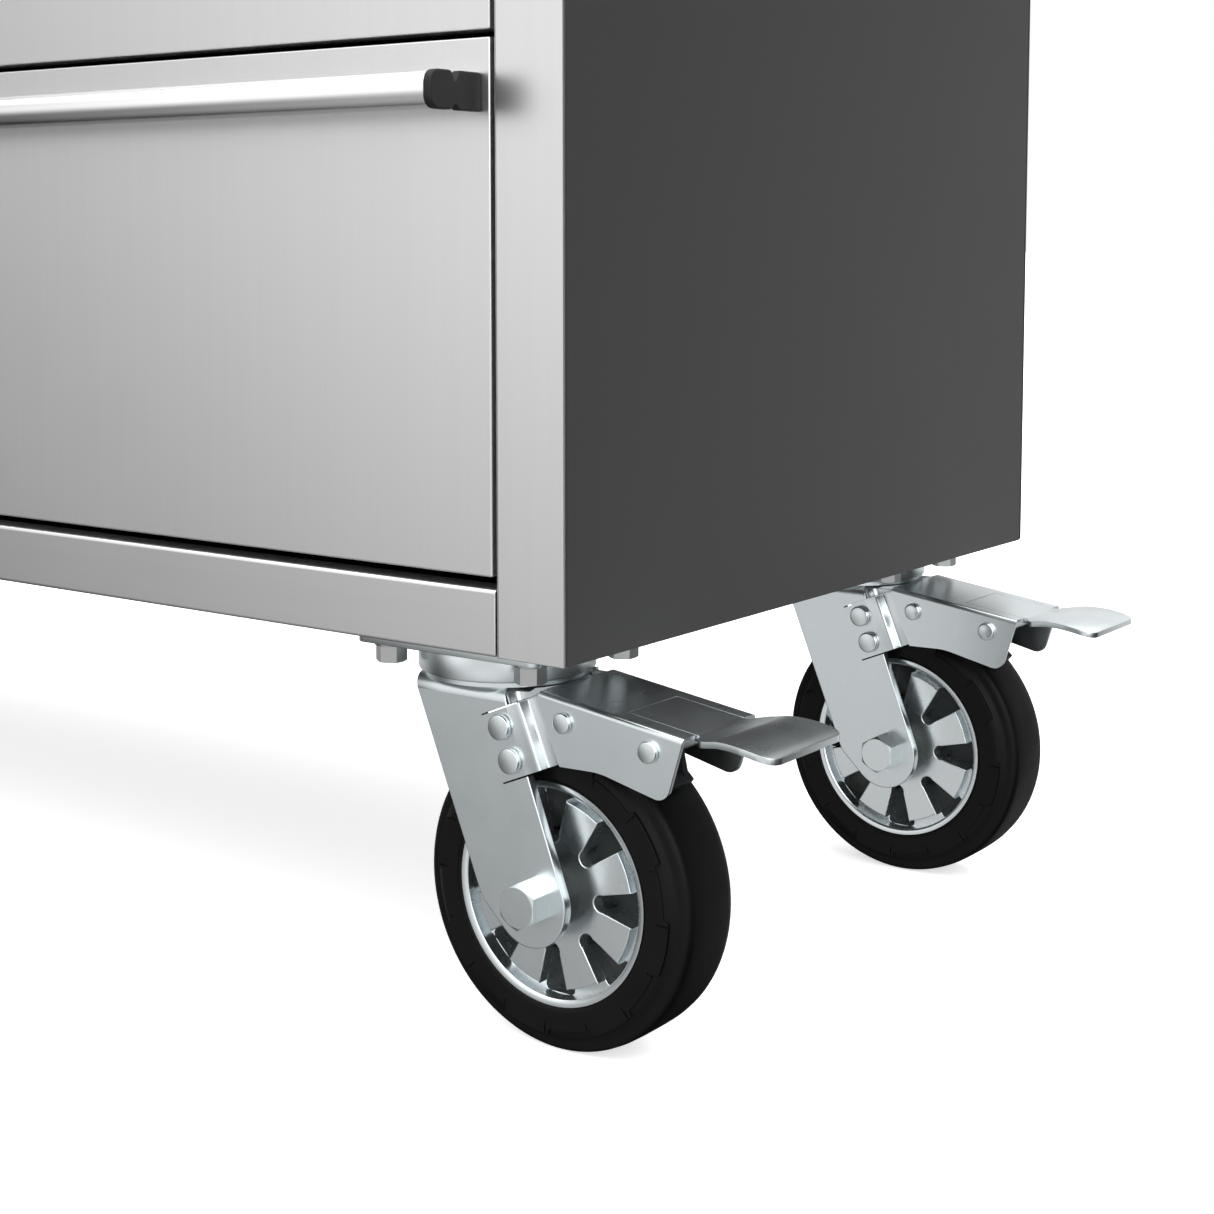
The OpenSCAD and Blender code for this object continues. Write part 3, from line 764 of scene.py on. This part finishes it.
def lock():
    """The chrome bezel, and the barrel with its key slot, disc and crank pin."""
    low, high = box_mm("lock_body")
    centre = (low + high) / 2
    depth = high.y - low.y
    front = shifted(centre.x, low.y, centre.z) @ turned(-90, "X")
    bore = 7.05
    bezel = revolve([(bore, 0.6), (7.5, 0), (9.5, 0), (12, 1.8), (12, 2.5), (9.5, 2.5), (9.5, depth),
                     (bore, depth)], 64)
    piece("lock_bezel", moved(bezel, front), CHROME, "cabinet", stands_for=["lock_body"])
    plug_r = bore - 0.1
    slot = rounded(rectangle(-1.1, -4.5, 1.1, 4.5), 1.0)
    face = moved(plate(circle(plug_r), 5, 0.4, holes=[slot]), shifted(z=0.4))
    core = moved(ring(0.01, plug_r, 16, 0.3), shifted(z=5.0))
    disc = moved(rod(11.4, 1.5, 0.3), shifted(z=depth + 0.6))
    drop = 12
    barrel_back = box_mm("lock_barrel")[1].y
    pin = moved(rod(2, barrel_back - high.y - 0.5, 0.3), shifted(drop / 2, -drop / 2, depth + 0.5))
    shape = moved(joined(face, core, disc, pin), front)
    piece("lock_plug", shape, CHROME, "lock_barrel", stands_for=["lock_barrel"])


push_handle()
lock()

# ---- casters, drawn around the wheel's axle with +X towards the pedal ----

WHEEL_R = 75.0
TRAIL = 41.2  # from the swivel's axis to the axle
FROM_SIDE, FROM_END = 80, 61.5  # the swivel's axis, in from the cabinet's side and its front or back
CORNERS = {"fl": (-1, -1), "fr": (1, -1), "bl": (-1, 1), "br": (1, 1)}
PLATE_T = 6.0  # the top plate
PLATE_Z = base_z - WHEEL_R
BOLT_X, BOLT_Y = 41.6, 35.5  # the plate's bolts, from the swivel's axis
RACE_H = 12.5
RUNNING_GAP = 0.4
CROWN_Z = PLATE_Z - PLATE_T - RACE_H - RUNNING_GAP
CROWN_TOP = CROWN_Z - 1
FORK_HALF, FORK_T = 34.8, 5.0  # half the fork's width over its legs, and its plate
HOUSING_HALF, BRAKE_T = 29.6, 2.2  # the same for the brake housing
HOUSING_Z = 96  # the housing's top plate above the axle, from where it slopes down
SLOPE = 7.9
SLOT_START, SLOT_HALF = 42.7, 19.7  # the slot in the housing's top that holds the pedal's tongue
TILT = 22.6  # the strip that joins the fork and the housing leans by this
STRIP = (54.5, 86.3)  # its edges, measured along the lean
TAB_START = 26.0  # where the strip leaves the fork's leg
RIVETS = [(-17.2, 78.1), (-11.4, 63.3)]  # in the fork's legs
SMALL_RIVET = (14.2, 83.2)  # in the housing's sides
PIVOT = (60.9, 77.1)  # the pedal's pin
BOLT_R = 6  # the axle bolt
HUB_R = 13.9  # the hub's bore, which holds the bearings


def corner_frame(corner):
    """The matrix that puts a shape drawn round the axle at one corner."""
    side, depth = CORNERS[corner]
    swivel_y = face_y + FROM_END if depth < 0 else back_y - FROM_END
    turn = turned(0 if side > 0 else 180, "Z")
    return shifted(side * (half_w - FROM_SIDE), swivel_y, WHEEL_R) @ turn @ shifted(x=TRAIL)


def both_sides(shape):
    """A shape and its mirror image across the wheel."""
    return copied(shape, Matrix.Identity(4), MIRROR_Y)


def tangent(point, centre, radius, side):
    """Where a line from a point touches a circle."""
    point, centre = Vector(point), Vector(centre)
    away = centre - point
    angle = math.atan2(away.y, away.x) + side * math.asin(radius / away.length)
    return point + math.sqrt(away.length_squared - radius ** 2) * Vector((math.cos(angle), math.sin(angle)))


def fork_shape():
    """A channel folded from one plate: crown on top, two tapered legs, rounded ends round the axle."""
    inside = 2.0
    flat = FORK_HALF - FORK_T - inside
    drop = flat + math.pi / 2 * (inside + FORK_T / 2) + CROWN_TOP - FORK_T - inside
    end, end_r = (-1.6, -1.6), 20.4
    top_back, heel, top_front = (-70.6, CROWN_TOP), (-29.3, -3.5), (-17.2, CROWN_TOP)
    back = tangent(heel, end, end_r, -1)
    front = tangent(top_front, end, end_r, 1)
    start = math.degrees(math.atan2(back.y - end[1], back.x - end[0])) % 360
    stop = math.degrees(math.atan2(front.y - end[1], front.x - end[0]))
    leg = [top_back, heel] + arc(end, end_r, start, stop + 360, 20) + [top_front]
    right = [(x, drop - z) for x, z in leg]
    outline = right + [(x, -s) for x, s in reversed(right)]
    holes = [circle(3.6, (x, side * (drop - z)), 24) for x, z in RIVETS for side in (-1, 1)]
    shape = plate(outline, FORK_T, 0.6, holes)
    for side in (-1, 1):
        fold(shape, (0, side * flat), (0, side), inside, FORK_T)
    moved(shape, shifted(z=CROWN_TOP - FORK_T))
    slits = []
    slit_w = 0.8
    for low in (STRIP[0] - slit_w, STRIP[1]):
        slit = moved(plate(rectangle(5, -50, 60, 50), slit_w, 0.05), shifted(z=low))
        slits.append(moved(slit, turned(-TILT, "Y")))
    shape = cut(shape, joined(*slits))
    tongue = plate(rectangle(10, FORK_HALF - FORK_T, TAB_START, FORK_HALF), STRIP[1] - STRIP[0], 0.03)
    moved(tongue, shifted(z=STRIP[0]))
    shape = united(shape, both_sides(moved(tongue, turned(-TILT, "Y"))))
    dish = revolve([(9, CROWN_Z - 3), (39, CROWN_Z - 3), (40, CROWN_Z - 2), (40, CROWN_Z), (30, CROWN_Z),
                    (26, CROWN_Z - 1.5), (9, CROWN_Z - 1.5)])
    return joined(shape, moved(dish, shifted(x=-TRAIL)))


def housing_shape():
    """Brake housing: a sloping top plate and two sides folded from one sheet."""
    slope = math.radians(SLOPE)
    origin = Vector((0, HOUSING_Z))
    inside = 0.2
    flat = HOUSING_HALF - BRAKE_T - inside
    bend = math.pi / 2 * (inside + BRAKE_T / 2)

    def unfolded(point):
        """(along the slope, out from the middle) of a point of the side."""
        x, z = Vector(point) - origin
        along = x * math.cos(slope) - z * math.sin(slope)
        below = -(x * math.sin(slope) + z * math.cos(slope))
        return along, flat + bend + below - BRAKE_T - inside

    end = 79.2
    side = rounded([(-0.6, 91.6), (11.9, 62.9, 1), (34, 63.4, 40), (69.6, 55.2, 6.5), (78.3, 84)], 0, 8)
    half = [(0.5, flat)] + [unfolded(p) for p in side]
    half += [(end, flat + bend), (end, SLOT_HALF), (SLOT_START, SLOT_HALF)]
    outline = half + [(u, -s) for u, s in reversed(half)]
    shape = plate(outline, BRAKE_T, 0.06)
    for sign in (-1, 1):
        fold(shape, (0, sign * flat), (0, sign), inside, BRAKE_T)
    moved(shape, shifted(z=HOUSING_Z) @ turned(SLOPE, "Y") @ shifted(z=-BRAKE_T))
    return united(shape, tab_shape())


def tab_shape():
    """The strip that steps from the fork's leg in to the housing's side, seen along its width."""
    out, inside = FORK_HALF, HOUSING_HALF
    outline = rounded([(TAB_START, out), (28.0, out, 1.8), (29.8, inside, 1.4), (37.5, inside),
                       (37.5, inside - BRAKE_T), (27.8, inside - BRAKE_T, 1.5), (26.2, out - BRAKE_T, 0.4),
                       (TAB_START - 2, out - BRAKE_T), (TAB_START - 2, out - 0.8), (TAB_START, out - 0.8)],
                      0, 6)
    shape = moved(plate(outline, STRIP[1] - STRIP[0], 0.05), shifted(z=STRIP[0]))
    return both_sides(moved(shape, turned(-TILT, "Y")))


def gusset_shape():
    """The folded brace between the crown and the housing, above the strip."""
    path = [(24.0, 34.2), (25.4, 28.9), (46, 28.9)]
    outline = sheet([(s, -y) for s, y in path], BRAKE_T, 3.5)
    shape = moved(plate(outline, 17, 0.3), shifted(z=STRIP[1] + 0.6))
    moved(shape, turned(-TILT, "Y"))
    trim = plate(rectangle(-60, -60, 60, 60), 30, 0.1)
    shape = cut(shape, moved(trim, shifted(z=CROWN_Z - 3.3)))
    slope = plate(rectangle(-10, -60, 100, 60), 30, 0.1)
    moved(slope, shifted(x=9.5, z=HOUSING_Z - 1.5) @ turned(SLOPE, "Y"))
    return both_sides(cut(shape, slope))


def fasteners_shape():
    """Rivets, the pedal's pivot pin, and the axle bolt with its head and nut."""
    shapes = []

    def head(x, z, y, radius, height):
        """A round head on both sides, its foot this far from the middle."""
        button = rod(radius, height, min(1.0, height / 2))
        shapes.append(both_sides(moved(button, shifted(x, -y, z) @ FACING_FRONT)))

    for x, z in RIVETS:
        head(x, z, FORK_HALF - 0.1, 6, 3.1)
        head(x, z, FORK_HALF - FORK_T - 1, 5, 1.4)
    head(*SMALL_RIVET, HOUSING_HALF - 0.3, 4.85, 2.8)
    head(*PIVOT, HOUSING_HALF - 0.3, 5.0, 2.8)
    pivot = moved(rod(4, 2 * HOUSING_HALF), shifted(PIVOT[0], HOUSING_HALF, PIVOT[1]) @ FACING_FRONT)
    axle = moved(rod(BOLT_R, 2 * FORK_HALF), shifted(y=FORK_HALF) @ FACING_FRONT)
    nut = moved(hex_nut(19, 11.5), shifted(y=-FORK_HALF + 0.1) @ FACING_FRONT)
    bolt = moved(hex_nut(19, 7.4), shifted(y=FORK_HALF - 0.1) @ turned(-90, "X"))
    return joined(*shapes, pivot, axle, nut, bolt)


def pedal_shape():
    """The tongue in the housing's slot and the arched foot plate, one sheet bent along its length."""
    tongue, foot, end, thickness = SLOT_HALF - 0.6, 31, 124.3, 2.9
    bends_from, step, bends = 78, 1.18, 40
    half = [(end, foot, 8.5), (108, foot, 20), (86.5, 28.5, 2.0), (82.6, 23.8, 1.6), (80.6, tongue, 0.8),
            (SLOT_START, tongue)]
    other = [(x, -y, *radius) for x, y, *radius in reversed(half)]
    shape = plate(rounded(other + half, 0.5, 6), thickness, 0.1)
    for k in range(bends):
        geometry = shape.verts[:] + shape.edges[:] + shape.faces[:]
        bmesh.ops.bisect_plane(shape, geom=geometry, dist=1e-5, plane_no=(1, 0, 0),
                               plane_co=(bends_from + k * step, 0, 0))
    bmesh.ops.dissolve_degenerate(shape, dist=1e-3, edges=shape.edges)
    for face in shape.faces:
        face.smooth = face.smooth or face.calc_center_median().x > bends_from
    for v in shape.verts:
        v.co.z += pedal_height(v.co.x, end) - thickness
    return shape


def pedal_height(x, end):
    """The foot plate's upper face: down the housing's slope, through a valley, and over a low arch."""
    slope = math.tan(math.radians(SLOPE))
    start = 80
    if x < start:
        return HOUSING_Z - x * slope
    share = (x - start) / (end - start)
    valley = slope * 4 * math.sin(math.pi * min(share * 3, 1))
    arch = 2.6 * math.sin(math.pi * min(share * 1.02, 1))
    return HOUSING_Z - start * slope - 2.0 * share - valley + arch


def pedal_arms_shape():
    """The two arms below the pedal and the brake shoe between them, near-black as painted shade."""
    arms = []
    arm_t, apart = 3, 5
    corners = [(43, 87.4), (52, 86.2), (55, 71, 4), (58, 57.5, 2), (53, 59.5, 2), (47.5, 70, 3)]
    for side in (-1, 1):
        arm = plate(rounded(corners, 0.5), arm_t, 0.4)
        arms.append(moved(arm, shifted(y=side * apart + arm_t / 2) @ FACING_FRONT))
    shoe = moved(plate(rounded(rectangle(-9, -3.5, 9, 3.5), 1), 4, 0.6), turned(90, "Z") @ turned(90, "X"))
    moved(shoe, turned(-46, "Y") @ shifted(x=WHEEL_R + 2.8))
    return joined(*arms, shoe)


def window_half(r):
    """Half the width of a window between two spokes, which widens outwards."""
    return 4 + 5 * (r - 27) / 21.8


def window(end_r, corner_r=0):
    """The outline of one window, from its outer end round the inner end and back out."""
    half = window_half(end_r)
    return [(end_r, -half, corner_r)] + arc((27.5, 0), 4, 280, 80, 10) + [(end_r, half, corner_r)]


def turned_points(points, degrees):
    """Points turned about the axle."""
    c, s = math.cos(math.radians(degrees)), math.sin(math.radians(degrees))
    return [(x * c - y * s, x * s + y * c) for x, y in points]


def rim_shape():
    """The cast wheel centre: hub, flat spokes with windows between them, a groove and an outer lip."""
    count = 8
    pitch = 360 / count
    face, groove, spoke_r, groove_r = 19.5, 13.5, 44.6, 48.8
    edge = math.degrees(math.asin(window_half(spoke_r) / spoke_r))
    outline, windows = [], []
    for k in range(count):
        outline += turned_points(rounded(window(spoke_r), 0), pitch * k)
        outline += arc((0, 0), spoke_r, pitch * k + edge + 1, pitch * (k + 1) - 1 - edge, 6)
        windows.append(turned_points(rounded(window(groove_r, 2.6), 0), pitch * k))
    star = moved(plate(outline, 2 * face, 0.5, holes=[circle(HUB_R)]), shifted(z=-face))
    back = plate(circle(50, steps=128), 2 * groove, 0.4, holes=[circle(HUB_R)] + windows)
    half = [(49.2, 12), (49.2, 20.6), (49.9, 21.3), (50.6, 21.5), (52.4, 21.5)]
    lip = revolve(half + [(r, -z) for r, z in reversed(half)], 128)
    return moved(joined(star, moved(back, shifted(z=-groove)), lip), turned(90, "X"))


def bearing_shape():
    """Two shielded ball bearings in the hub."""
    hub = FORK_HALF - FORK_T - 0.5
    bore, width = BOLT_R + 0.1, 10
    profile = [(bore, 0), (bore, width), (8.6, width), (9, 9.4), (11.4, 9.4), (11.8, width), (HUB_R, width),
               (HUB_R, 0)]
    return both_sides(moved(revolve(profile, 64), shifted(y=width - hub) @ FACING_FRONT))


def web_shape():
    """The web behind the spokes' windows, and the hub sleeve, both near-black as painted shade."""
    hub = FORK_HALF - FORK_T - 0.6
    web = moved(ring(14.2, 49.5, 14, 0.3), shifted(y=7) @ FACING_FRONT)
    boss = moved(ring(13.95, 15.6, 2 * hub, 0.6), shifted(y=hub) @ FACING_FRONT)
    return joined(web, boss)


def tyre_shape():
    """The tyre: flat side walls, a groove below the shoulder and a slightly crowned tread."""
    half = [(52.5, 20.8), (53.2, 21.6), (54.5, 22.0), (61, 22.0), (64, 21.6), (66.6, 20.4), (68.4, 18.6),
            (69.6, 18.0), (71, 18.2), (73.3, 17.4), (74.4, 16.0), (74.8, 13), (WHEEL_R, 6)]
    profile = half + [(r, -z) for r, z in reversed(half)]
    shape = moved(revolve(profile, 144), turned(90, "X"))
    return joined(shape, both_sides(lugs_shape()))


def lugs_shape():
    """The raised band on a side wall, its edge stepped in and out, with a short slit at each step."""
    outline, slits = [], []
    count = 16
    for k in range(count):
        radius = 66.2 if k % 2 else 63.4
        outline += arc((0, 0), radius, 360 * k / count, 360 * (k + 0.97) / count, 10)
        slit = plate(rectangle(-3.2, -0.35, 3.2, 0.35), 5, 0.05)
        slits.append(moved(slit, turned(360 * k / count - 2, "Z") @ shifted(x=63.3, z=1.6)))
    band = plate(outline, 2.6, 0.35, holes=[circle(54.2, steps=96)])
    return moved(cut(band, joined(*slits)), shifted(y=-19.9) @ FACING_FRONT)


def plate_shape():
    """Top plate, kingpin and the upper ball race."""
    outline = rounded(rectangle(-54, -47.5, 54, 47.5), 5)
    top = moved(plate(outline, PLATE_T, 0.5), shifted(z=-PLATE_T))
    low = -PLATE_T - RACE_H
    race = revolve([(34, low), (41, low), (41.7, low + 0.3), (42, low + 1), (42, low + 9.5),
                    (41.4, low + 11.5), (39, -PLATE_T), (33, -PLATE_T), (34, low + 6)])
    inner = revolve([(8, low), (30, low), (31.5, low + 2), (31.5, low + 5), (26, -PLATE_T), (8, -PLATE_T)])
    pin = moved(rod(8, RACE_H + 14), shifted(z=low - 12))
    nut = moved(hex_nut(22, 6), shifted(z=low - 6.6) @ UPSIDE_DOWN)
    return joined(top, race, inner, pin, nut)


def bolt_shape():
    """Bolt, washer and nut under the plate, and the head inside the base."""
    washer = moved(ring(4.2, 8, 1.8, 0.3), shifted(z=-PLATE_T - 1.9))
    nut = moved(hex_nut(13, 7.9, 4.05), shifted(z=-PLATE_T - 2) @ UPSIDE_DOWN)
    shank = moved(rod(4, 18, 0.8), shifted(z=-16))
    head = moved(hex_nut(13, 5.3), shifted(z=2))
    return joined(washer, nut, shank, head)


# Each piece of a caster: its shape, its look, the body it rides and the CAD node it stands for.
caster_meshes = {
    "fork_plate": (fork_shape, ZINC, "swivel", "fork"),
    "brake_housing_shell": (housing_shape, ZINC, "swivel", "brake_housing"),
    "brake_gusset": (gusset_shape, ZINC, "swivel", None),
    "rivets_and_axle": (fasteners_shape, RIVET, "swivel", "fasteners"),
    "foot_pedal": (pedal_shape, ZINC, "pedal", "pedal"),
    # The pedal's arms and, below, the wheel's web wear near-black painted shade; the bearings wear the
    # darker fastener copy, painted shade inside the hub.
    "pedal_arms": (pedal_arms_shape, PAINTED_SHADE, "pedal", None),
    "wheel_centre": (rim_shape, WHEEL, "wheel", "rim"),
    "wheel_bearings": (bearing_shape, SHADED_FASTENER, "wheel", None),
    "wheel_web": (web_shape, PAINTED_SHADE, "wheel", None),
    "rubber_tyre": (tyre_shape, RUBBER, "wheel", "tyre"),
}
for label, (maker, look, group, node) in caster_meshes.items():
    mesh = mesh_of(label, maker(), look[0])
    for corner in CORNERS:
        name = f"caster_{corner}_{label}"
        stands_for = [f"caster_{corner}_{node}"] if node else []
        place(name, mesh, f"caster_{corner}_{group}", corner_frame(corner), stands_for)

plates, bolts = [], []
for corner in CORNERS:
    top = corner_frame(corner) @ shifted(x=-TRAIL, z=PLATE_Z)
    plates.append(moved(plate_shape(), top))
    for x in (-BOLT_X, BOLT_X):
        for y in (-BOLT_Y, BOLT_Y):
            bolts.append(moved(bolt_shape(), top @ shifted(x, y)))
piece("caster_top_plates", joined(*plates), ZINC, "cabinet", stands_for=["caster_plates"])
# The plate bolts take the darker fastener copy, painted shade under the base.
piece("caster_plate_bolts", joined(*bolts), SHADED_FASTENER, "cabinet", stands_for=["caster_bolts"])

# ---- floor, light and camera ----


def studio_floor():
    """A pale floor that fades into the surround."""
    mesh = bpy.data.meshes.new("floor")
    grid = bmesh.new()
    bmesh.ops.create_grid(grid, x_segments=1, y_segments=1, size=40)
    grid.to_mesh(mesh)
    grid.free()
    floor = bpy.data.objects.new("floor", mesh)
    scene.collection.objects.link(floor)
    look = Look("floor", (0.93, 0.93, 0.93), 0.9)
    look.vary_colour(look.noise((900,) * 3), 0.99, 1.01)
    look.shader.inputs["Emission Color"].default_value = (1, 1, 1, 1)
    look.shader.inputs["Emission Strength"].default_value = 0.62
    mesh.materials.append(look.material)
    floor.visible_glossy = False
    floor.visible_diffuse = False


# Panels of light: the way to each, the cosines at which it starts and is full, its strength and its fading.
PANELS = [
    ((0, 0, 1), -1.0, 1.0, 0.06, "LINEAR"),
    ((0, -0.1, 1), 0.45, 0.95, 3.0, "SMOOTHSTEP"),
    ((0, 0.75, 0.65), 0.93, 1.0, 1.6, "SMOOTHSTEP"),
    ((0.25, -1, 0.75), 0.18, 0.53, 0.78, "LINEAR"),
    ((0.2, -1, 0), 0.0, 0.65, 0.23, "LINEAR"),
    ((0, -0.6, -1), 0.62, 0.95, 0.4, "SMOOTHSTEP"),
    ((-0.5, -0.86, 0.22), 0.88, 1.0, 0.45, "SMOOTHSTEP"),
    ((0.8, -0.55, 0.45), 0.85, 0.97, 2.6, "SMOOTHSTEP"),
    ((-0.3, 1, 0.45), 0.80, 1.0, 0.5, "SMOOTHSTEP"),
    ((0.1, 1, -0.1), 0.80, 1.0, 1.0, "SMOOTHSTEP"),
    ((-1, 0.5, 0.3), 0.5, 1.0, 0.9, "SMOOTHSTEP"),
]


def studio_world():
    """A white surround for the eye, and soft broad panels of light for everything else."""
    world = bpy.data.worlds.new("studio")
    scene.world = world
    world.use_nodes = True
    tree = world.node_tree
    tree.nodes.clear()

    def node(kind, **settings):
        return new_node(tree, kind, **settings)

    direction = node("ShaderNodeTexCoord").outputs["Generated"]
    total = None
    for toward, start, end, strength, kind in PANELS:
        dot = node("ShaderNodeVectorMath", operation="DOT_PRODUCT")
        dot.inputs[1].default_value = Vector(toward).normalized()
        tree.links.new(direction, dot.inputs[0])
        panel = map_range(tree, dot.outputs["Value"], (start, end), (0, strength), interpolation_type=kind)
        if total is None:
            total = panel
            continue
        add = node("ShaderNodeMath", operation="ADD")
        tree.links.new(total, add.inputs[0])
        tree.links.new(panel, add.inputs[1])
        total = add.outputs[0]
    panels = node("ShaderNodeBackground")
    tree.links.new(total, panels.inputs["Strength"])
    white = node("ShaderNodeBackground")
    white.inputs["Color"].default_value = (1, 1, 1, 1)
    mix = node("ShaderNodeMixShader")
    tree.links.new(node("ShaderNodeLightPath").outputs["Is Camera Ray"], mix.inputs["Fac"])
    tree.links.new(panels.outputs[0], mix.inputs[1])
    tree.links.new(white.outputs[0], mix.inputs[2])
    tree.links.new(mix.outputs[0], node("ShaderNodeOutputWorld").inputs["Surface"])


def studio_camera():
    """Low on the right of the chest, almost level, with the lens shifted down towards the casters."""
    tilt, heading = 5.157, 36.055
    data = bpy.data.cameras.new("camera")
    data.lens = 60.53
    data.sensor_width = 36
    data.shift_y = -0.155
    data.clip_start = 0.05
    data.clip_end = 200
    camera = bpy.data.objects.new("camera", data)
    camera.location = (1.0517, -0.8926, 0.3754)
    camera.rotation_euler = (math.radians(90 - tilt), 0, math.radians(heading))
    scene.collection.objects.link(camera)
    scene.camera = camera


studio_floor()
studio_world()
studio_camera()
